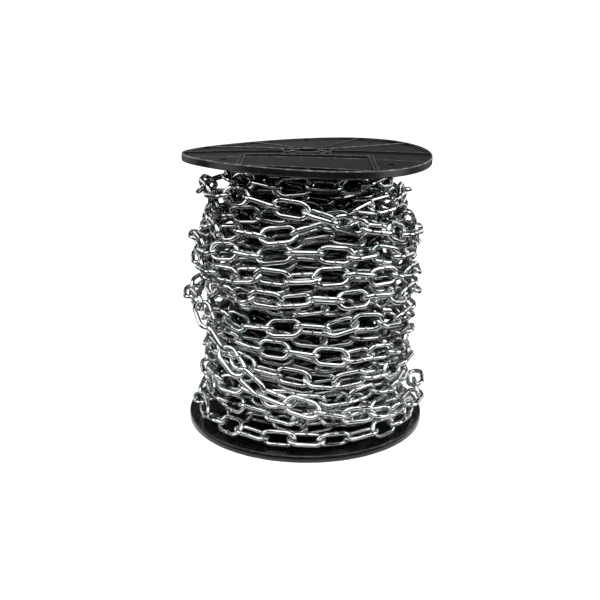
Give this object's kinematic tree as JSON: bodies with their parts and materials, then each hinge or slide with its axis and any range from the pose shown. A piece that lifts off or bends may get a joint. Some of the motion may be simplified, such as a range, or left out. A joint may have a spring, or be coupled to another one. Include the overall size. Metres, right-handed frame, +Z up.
{
  "type": "reel of steel chain",
  "caption": "Black plastic reel standing on its end, wound with long-link zinc-plated steel chain, with one loose run crossing the front and an open spindle bore.",
  "frame": {"origin": "on the floor at the reel's axis, the middle of the bottom flange's rim", "axes": "+Z up along the reel's axis, +X to the right and -Y towards the viewer of the side where the loose run crosses"},
  "size_m": [0.248, 0.2464, 0.2729],
  "materials": {
    "reel_plastic": "moulded, lightly scuffed, soft sheen",
    "zinc_chain": "bright zinc plate with a welded seam on each link"
  },
  "bodies": {
    "root": {"bottom_flange": "reel_plastic", "top_flange": "reel_plastic", "barrel": "reel_plastic", "chain_core": "zinc_chain", "chain_turn_01": "zinc_chain", "chain_turn_02": "zinc_chain", "chain_turn_03": "zinc_chain", "chain_turn_04": "zinc_chain", "chain_turn_05": "zinc_chain", "chain_turn_06": "zinc_chain", "chain_turn_07": "zinc_chain", "chain_turn_08": "zinc_chain", "chain_turn_09": "zinc_chain", "chain_turn_10": "zinc_chain", "chain_turn_11": "zinc_chain", "chain_turn_12": "zinc_chain", "chain_free_run": "zinc_chain"}
  },
  "joints": []
}
